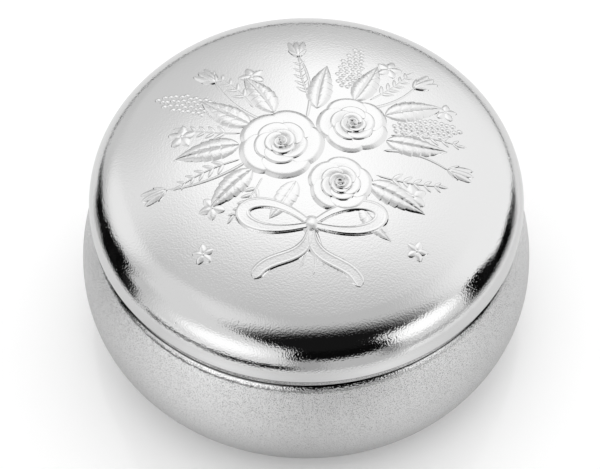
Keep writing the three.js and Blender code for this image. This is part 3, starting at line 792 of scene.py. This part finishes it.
def bow_loop(knot, angle, length, spread):
    """A loop of the bow: distance from the knot is a sine of the way round it, while the bearing swings
    across the spread."""
    fullness, half_width, narrowest = 0.75, 1.6, 0.45
    crest_low, knot_rise, side_rise, side_turn = 0.36, 0.22, 0.08, 6
    s = np.linspace(0, 1, LOOP_STEPS)
    bearing = angle + spread * (s - 0.5)
    path = np.array(knot) + (length * np.sin(np.pi * s) ** fullness)[:, None] * turned_plan(bearing)
    width = half_width * (narrowest + (1 - narrowest) * np.sin(np.pi * s))
    crest = crest_low + knot_rise * np.cos(np.pi * s) ** 2 + side_rise * np.tanh(side_turn * (s - 0.5))
    return ribbon(path, width, crest)


def bow_tail(knot, angle, length, wave):
    """A tail of the bow: straight ahead with a sideways wave, a sine, widening from the knot and cut to a
    point."""
    wave_count, half_width, narrowest = 0.85, 1.5, 0.5
    widening, point = 0.3, 0.08
    crest_middle, crest_wave = 0.38, 0.12
    s = np.linspace(0, 1, TAIL_STEPS)
    sway = 2 * np.pi * wave_count * s
    path = np.array(knot) + (s * length)[:, None] * turned_plan(angle)
    path = path + (wave * np.sin(sway))[:, None] * turned_plan(angle + 90)
    widened = narrowest + (1 - narrowest) * np.clip(s / widening, 0, 1)
    width = half_width * widened * np.sqrt(np.clip((1 - s) / point, LEAST_SQUARED, 1))
    return ribbon(path, width, crest_middle + crest_wave * np.cos(sway))


# A rose's rings, as shares of its size: petals, ring radius, half width, crest, span in degrees, whirl
ROSE_RINGS = [(5, 0.71, 0.30, 0.50, 98, 0.10), (5, 0.46, 0.20, 0.68, 100, 0.12),
              (3, 0.26, 0.14, 0.80, 150, 0.16), (2, 0.11, 0.08, 0.82, 210, 0.20)]
ROSE_HEART = (0.06, 0.86)

# A bud's petals and sepals: lean, shares of its length for length and half width, crest
BUD_PETALS = [(16, 1, 0.20, 0.34), (-16, 1, 0.20, 0.34), (0, 1, 0.21, 0.44),
              (38, 0.55, 0.10, 0.46), (-38, 0.55, 0.10, 0.46)]

# A blossom's petals and their half width as a share of its size, with their crest; its heart likewise
BLOSSOM_PETALS = (5, 0.42, 0.28)
BLOSSOM_HEART = (0.24, 0.34)

# Centre, size, turn
ROSES = [((-5.0, 0.0), 8.6, 10), ((9.0, 5.0), 7.2, 50), ((6.5, -9.5), 6.4, 95)]
BLOSSOMS = [
    ((-24.5, 3.5), 2.9, 15), ((-11.0, 18.5), 2.8, 40), ((16.5, 21.5), 2.7, 0), ((20.5, -11.0), 2.9, 30),
    ((-18.0, -14.0), 2.7, 55), ((27.5, 11.0), 2.4, 10), ((-19.5, -23.5), 2.2, 25), ((21.0, -22.5), 2.2, 70),
]

# Foot, angle, length, half width, crest, bend
LEAVES = [
    ((-11.0, 5.0), 150, 12.5, 3.0, 0.6, -1.5), ((-13.0, 0.0), 184, 13.0, 3.1, 0.6, 1.2),
    ((-10.5, -6.0), 220, 11.5, 2.9, 0.6, 1.2), ((-6.5, 8.0), 114, 12.0, 2.9, 0.6, 1.4),
    ((2.0, 9.0), 86, 12.5, 2.9, 0.6, -1.2), ((9.5, 11.5), 60, 11.5, 2.8, 0.6, 1.2),
    ((15.5, 8.0), 24, 12.5, 3.0, 0.6, -1.2), ((15.5, 1.5), -10, 12.0, 2.9, 0.6, 1.2),
    ((12.0, -9.0), -22, 12.0, 2.9, 0.6, -1.2), ((10.5, -14.0), -58, 9.0, 2.4, 0.28, 1.0),
    ((-2.0, -9.0), 244, 9.5, 2.6, 0.28, -1.0),
]

# Centre, angle, length
BUDS = [((-20.0, 19.5), 134, 5.6), ((-2.0, 27.0), 96, 5.6), ((23.5, 18.5), 40, 5.6), ((30.0, -4.0), -6, 5.2),
        ((-29.5, -9.5), 200, 5.2)]

# Start, end, bow to the side
STEMS = [((-7.0, 5.0), (-18.4, 17.8), 1.6), ((0.0, 6.5), (-1.7, 24.4), -1.4),
         ((12.0, 9.5), (21.6, 16.9), -1.2), ((15.0, -1.0), (27.6, -3.8), 1.2),
         ((-11.5, -4.0), (-27.2, -8.7), 1.4)]

# Foot, angle, length, half width, seed
SPIKES = [((-17.0, 9.5), 156, 15.5, 2.9, 3), ((7.5, 15.5), 74, 13.5, 2.8, 7), ((17.5, 4.8), 8, 14.5, 2.8, 9)]

# Foot, angle, length, bow to the side
SPRIGS = [((-10.5, 9.5), 130, 14.5, -0.8), ((1.0, 10.5), 101, 12.5, 0.6), ((12.5, 12.0), 47, 11.5, -0.6),
          ((16.5, 3.0), -1, 13.5, 0.6), ((13.5, -7.0), -4, 12.5, -0.6), ((-13.0, -3.5), 203, 12.5, -0.6),
          ((-8.5, -8.0), 236, 10.0, 0.5), ((-13.0, 3.0), 167, 12.0, 0.5)]

# The bow: loops by angle, length and spread, tails by angle, length and wave, stalks by angle and length
KNOT = (1.0, -18.5)
KNOT_RADIUS = 2.1
KNOT_CREST = 0.85
LOOPS = [(166, 13.5, 56), (12, 13.5, -56)]
TAILS = [(230, 15.0, 1.8), (302, 15.0, -1.8)]
STALKS = [(256, 9.0), (272, 10.0), (286, 8.5)]
STALK_BOW = 0.5


def joined(form, table):
    """The patches of a form that has many, for each row of its table."""
    return [patch for numbers in table for patch in form(*numbers)]


def relief():
    """The spray: leaves and stems below, then flower spikes, roses, buds and blossoms, and the bow."""
    stalks = [stem(KNOT, np.array(KNOT) + reach * turned_plan(angle), STALK_BOW) for angle, reach in STALKS]
    tails = [bow_tail(KNOT, *numbers) for numbers in TAILS]
    loops = [bow_loop(KNOT, *numbers) for numbers in LOOPS]
    families = {
        "relief_leaves": [leaf(*numbers) for numbers in LEAVES],
        "relief_stems": [stem(*numbers) for numbers in STEMS] + stalks,
        "relief_flower_spikes": joined(flower_spike, SPIKES),
        "relief_sprigs": joined(sprig, SPRIGS),
        "relief_roses": joined(rose, ROSES),
        "relief_buds": joined(bud, BUDS),
        "relief_blossoms": joined(blossom, BLOSSOMS),
        "relief_bow": tails + loops + [bead(KNOT, KNOT_RADIUS, KNOT_CREST)],
    }
    for name, patches in families.items():
        new_piece(name, patches, "lid", POLISHED, "polished_pewter", "lid_shell")


# Stage: floor, studio and camera

# Floor and lamp: lengths in metres
FLOOR_HALF = 2.0
STUDIO_REACH = 0.095
FLOOR_GLOW = 0.21
SPILL_GLOW = 0.24
SPILL_PLACE = (0.034, -0.060, 0)
SPILL_REACH = 0.034
LAMP_HEIGHT = 0.9
LAMP_SIZE = 0.8
LAMP_WATTS = 1.7

# Studio: brightness of the bare scrim, then angles in degrees and slopes of edges
SCRIM = 0.67
BACK_FROM = 126
BACK_TO = 181
BACK_SOFT = 6
BACK_SLOPE = -0.33
SOFTBOX_SLANT = 0.62
SOFTBOX_BOTTOM = -180
SOFTBOX_TOP = 10.5
SOFTBOX_SOFT = 4


def floor_surface():
    """White acrylic sheet, slightly glossy: it glows a little towards the camera so that it stays white, and
    towards the metal in two spots, in front to the left and right. What the metal mirrors past the sheet's
    edge is the studio."""
    made, tree, place = new_material("white_acrylic_sheet")
    sheet = add(tree, "ShaderNodeBsdfPrincipled", {"Base Color": linear("#EBEBEB"), "Roughness": 0.03})
    ray = add(tree, "ShaderNodeLightPath")
    mirrored = ray.outputs["Is Glossy Ray"]
    parts = add(tree, "ShaderNodeSeparateXYZ", {0: place})
    aside = calc(tree, "ABSOLUTE", parts.outputs["X"])
    folded = add(tree, "ShaderNodeCombineXYZ", {0: aside, 1: parts.outputs["Y"]})
    off = vector_calc(tree, "DISTANCE", folded.outputs[0], SPILL_PLACE).outputs["Value"]
    spill = calc(tree, "MULTIPLY", mirrored, ranged(tree, off, 0.0, SPILL_REACH, SPILL_GLOW, 0.0))
    level = calc(tree, "MULTIPLY_ADD", ray.outputs["Is Camera Ray"], FLOOR_GLOW, spill)
    glow = add(tree, "ShaderNodeEmission", {"Color": (1, 1, 1, 1), "Strength": level})
    lit = add(tree, "ShaderNodeAddShader", {0: sheet.outputs[0], 1: glow.outputs[0]})
    flat = vector_calc(tree, "MULTIPLY", place, (1, 1, 0)).outputs[0]
    away = vector_calc(tree, "LENGTH", flat).outputs["Value"]
    gone = calc(tree, "MULTIPLY", calc(tree, "GREATER_THAN", away, STUDIO_REACH), mirrored)
    clear = add(tree, "ShaderNodeBsdfTransparent")
    show(tree, add(tree, "ShaderNodeMixShader", {0: gone, 1: lit.outputs[0], 2: clear.outputs[0]}))
    return made


def floor():
    """A large flat sheet under the box."""
    corners = [(-FLOOR_HALF, -FLOOR_HALF, 0), (FLOOR_HALF, -FLOOR_HALF, 0), (FLOOR_HALF, FLOOR_HALF, 0),
               (-FLOOR_HALF, FLOOR_HALF, 0)]
    mesh = bpy.data.meshes.new("floor")
    mesh.from_pydata(corners, [], [(0, 1, 2, 3)])
    mesh.materials.append(floor_surface())
    made = bpy.data.objects.new("floor", mesh)
    bpy.context.scene.collection.objects.link(made)


def lamp():
    """A soft lamp overhead that lights the sheet and the velvet; the metal mirrors only the studio."""
    data = bpy.data.lights.new("overhead_lamp", "AREA")
    data.size = LAMP_SIZE
    data.energy = LAMP_WATTS
    made = bpy.data.objects.new("overhead_lamp", data)
    bpy.context.scene.collection.objects.link(made)
    made.location = (0, 0, LAMP_HEIGHT)
    made.visible_glossy = False


def studio():
    """The light tent round the box, as brightness by bearing (0 at the front, 90 at the right) and elevation,
    in degrees: a scrim that is brighter behind, two softboxes in front, dark gaps beside and above them."""
    world = bpy.data.worlds.new("studio")
    bpy.context.scene.world = world
    world.use_nodes = True
    tree = world.node_tree
    tree.nodes.clear()
    direction = add(tree, "ShaderNodeTexCoord").outputs["Generated"]
    parts = add(tree, "ShaderNodeSeparateXYZ", {0: direction})
    right, back, up = (parts.outputs[axis] for axis in "XYZ")
    forward = calc(tree, "MULTIPLY", back, -1)
    bearing = calc(tree, "DEGREES", calc(tree, "ARCTAN2", right, forward))
    elevation = calc(tree, "DEGREES", calc(tree, "ARCSINE", up))
    sideways = calc(tree, "DEGREES", calc(tree, "ARCSINE", right))
    overhead = calc(tree, "DEGREES", calc(tree, "ARCTAN2", up, back))
    turned_away = calc(tree, "ABSOLUTE", bearing)
    back_slope = calc(tree, "MULTIPLY_ADD", turned_away, BACK_SLOPE, elevation)

    def between(value, low, high, soft):
        """1 where low < value < high, with soft edges."""
        rise = eased(tree, value, low - soft, low + soft)
        fall = eased(tree, value, high - soft, high + soft, 1.0, 0.0)
        return calc(tree, "MULTIPLY", rise, fall)

    def box_panel(bearings, elevations, soft=2.0):
        """A panel between two bearings and two elevations."""
        sides = between(bearing, *bearings, soft)
        ends = between(elevation, *elevations, soft)
        return calc(tree, "MULTIPLY", sides, ends)

    def round_panel(centre, half, soft, across=bearing, along=elevation):
        """An oval panel: 1 where the scaled distance from its centre is under 1."""
        aside = calc(tree, "ADD", across, -centre[0])
        above = calc(tree, "ADD", along, -centre[1])
        place = add(tree, "ShaderNodeCombineXYZ", {0: aside, 1: above}).outputs[0]
        scaled = vector_calc(tree, "MULTIPLY", place, (1 / half[0], 1 / half[1], 0)).outputs[0]
        away = vector_calc(tree, "LENGTH", scaled).outputs["Value"]
        return eased(tree, away, 1 - soft, 1 + soft, 1.0, 0.0)

    def left_softbox():
        """The left softbox, whose top edge slants down towards the front."""
        slant = calc(tree, "MULTIPLY_ADD", bearing, SOFTBOX_SLANT, elevation)
        below_top = between(slant, SOFTBOX_BOTTOM, SOFTBOX_TOP, SOFTBOX_SOFT)
        return calc(tree, "MULTIPLY", box_panel((-82, -6.5), (-16, 60)), below_top)

    def behind(low, high, soft):
        """A band behind the box whose edges climb towards the back, between two heights of its slope."""
        band = between(back_slope, low, high, soft)
        return calc(tree, "MULTIPLY", band, between(turned_away, BACK_FROM, BACK_TO, BACK_SOFT))

    def glow(bearing_to, elevation_to, inner, outer):
        """A round glow: 1 within the inner angle of a direction, 0 beyond the outer one."""
        turned_to, raised_to = np.radians(bearing_to), np.radians(elevation_to)
        level = np.cos(raised_to)
        towards = (np.sin(turned_to) * level, -np.cos(turned_to) * level, np.sin(raised_to))
        near = vector_calc(tree, "DOT_PRODUCT", direction, towards).outputs["Value"]
        return eased(tree, near, np.cos(np.radians(outer)), np.cos(np.radians(inner)))

    panels = [
        # Bright and dim places on the scrim
        (round_panel((3, 50), (34, 34), 0.5, sideways, overhead), 1.38),
        (glow(112, 22, 20, 54), 1.14),
        (glow(-114, 28, 8, 28), 1.10),
        (glow(-58, 45, 4, 34), 0.97),
        (box_panel((-170, -134), (-14, 38), 13), 0.82),
        (box_panel((-200, -140), (-12, 15), 8), 0.70),
        (box_panel((158, 200), (-12, 15), 10), 0.72),
        # The table, with its bright and dim places and the dark line behind the box
        (between(elevation, -95, -11, 3), 0.98),
        (box_panel((-64, -14), (-37, -12), 6), 1.12),
        (box_panel((28, 56), (-37, -12), 6), 1.08),
        (behind(-200, -57.4, 1.5), 0.88),
        (behind(-58.2, -54.8, 0.8), 0.03),
        (box_panel((-12, 40), (-50, -28), 8), 0.87),
        (box_panel((38, 76), (-24, -16), 4), 0.52),
        (box_panel((76, 122), (-26, -14), 4), 0.50),
        (box_panel((-125, -80), (-33, -18), 4), 0.48),
        # The dark front, the left softbox and the right softbox, each brighter in the middle
        (round_panel((8, 20), (48, 34), 0.36), 0.010),
        (left_softbox(), 0.90),
        (box_panel((-84, -70), (-20, 16), 6), 0.70),
        (round_panel((-36, 1), (19, 13), 0.5), 1.4),
        (box_panel((33, 74), (-9, 21.5), 3), 0.90),
        (round_panel((54, 7), (16, 12), 0.40), 1.4),
        # The dark gap between them, and the table's edge below it
        (box_panel((-6.5, 36.5), (-5, 12)), 0.004),
        (box_panel((-6.5, 44), (-32, -7)), 0.62),
        (box_panel((-6.5, 8), (-32, -7), 3), 0.46),
        (box_panel((33, 39), (-20, -4)), 0.25),
        (box_panel((-40, -5), (-31, -20.5)), 0.006),
        (box_panel((-76, -38), (-29.5, -22), 3), 0.12),
        # Black cloths to the left, stepping down towards the back
        (box_panel((-99, -86), (-28, 10)), 0.004),
        (box_panel((-88, -80), (-27, -5)), 0.02),
        (box_panel((-110, -97), (-27, 4)), 0.004),
        (box_panel((-124, -108), (-22.5, -3)), 0.006),
        (box_panel((-131, -122), (-17, -8), 2), 0.04),
        # Black cloths to the right, likewise
        (box_panel((76, 88), (-19, 13)), 0.004),
        (box_panel((86, 94), (-20, 7)), 0.004),
        (box_panel((92, 114), (-19.5, -0.5)), 0.004),
        (box_panel((113, 124), (-17.5, -6), 3), 0.05),
    ]
    light = SCRIM
    for mask, brightness in panels:
        light = blend(tree, mask, light, brightness)
    seen = add(tree, "ShaderNodeLightPath").outputs["Is Camera Ray"]
    shown = blend(tree, seen, light, 1.0)
    background = add(tree, "ShaderNodeBackground", {"Color": shown, "Strength": 1.0})
    add(tree, "ShaderNodeOutputWorld", {"Surface": background.outputs[0]})


# The photograph's camera: its elevation is in degrees
PHOTO_WIDTH_PX = 600
PHOTO_CENTRE_PX = (300.0, 234.5)
AXIS_POINT_PX = (306.2, 199.0)
FOCAL_PX = 2165.0
AXIS_POINT_MM = 33.0
CAMERA_DISTANCE_MM = 435.0
SENSOR_MM = 36.0
CAMERA_ELEVATION = 53.3


def camera():
    """The photograph's camera: a long lens in front of the box, raised, aimed so that a point on the box's
    axis falls on its pixel."""
    raised_by = np.radians(CAMERA_ELEVATION)
    back = Vector((0, -np.cos(raised_by), np.sin(raised_by)))
    up = Vector((0, np.sin(raised_by), np.cos(raised_by)))
    right = Vector((1, 0, 0))
    axis_point = Vector((0, 0, AXIS_POINT_MM * MM))
    per_pixel = CAMERA_DISTANCE_MM * MM / FOCAL_PX
    aside = (PHOTO_CENTRE_PX[0] - AXIS_POINT_PX[0]) * per_pixel
    below = (PHOTO_CENTRE_PX[1] - AXIS_POINT_PX[1]) * per_pixel
    aim = axis_point + right * aside - up * below
    data = bpy.data.cameras.new("camera")
    data.sensor_width = SENSOR_MM
    data.lens = FOCAL_PX / PHOTO_WIDTH_PX * SENSOR_MM
    made = bpy.data.objects.new("camera", data)
    bpy.context.scene.collection.objects.link(made)
    made.location = axis_point + back * CAMERA_DISTANCE_MM * MM
    made.rotation_mode = "QUATERNION"
    made.rotation_quaternion = (aim - made.location).to_track_quat("-Z", "Y")
    bpy.context.scene.camera = made


camera()
studio()
lamp()
floor()
base_bowl()
seat_collar()
ring("wall_card_strip", WALL_CARD_OUTER - CARD_THICKNESS, WALL_CARD_OUTER, WALL_BOTTOM, WALL_CARD_TOP, "base",
     BOARD, "grey_board", "wall_card")
wall_velvet()
disc("floor_card_disc", PAD_CORE_RADIUS, PAD_BOTTOM, FLOOR_CARD_TOP, "base",
     BOARD, "grey_board", "floor_card")
floor_wadding()
floor_pad()
lid_shell()
disc("lid_card_disc", LID_CARD_RADIUS, LID_CARD_BOTTOM, LID_CARD_TOP, "lid",
     BOARD, "grey_board", "lid_card")
disc("lid_velvet_disc", LID_CARD_RADIUS, LID_VELVET_BOTTOM, LID_VELVET_TOP, "lid",
     VELVET, "blue_velvet", "lid_velvet")
relief()

bpy.context.scene.view_settings.view_transform = "Standard"
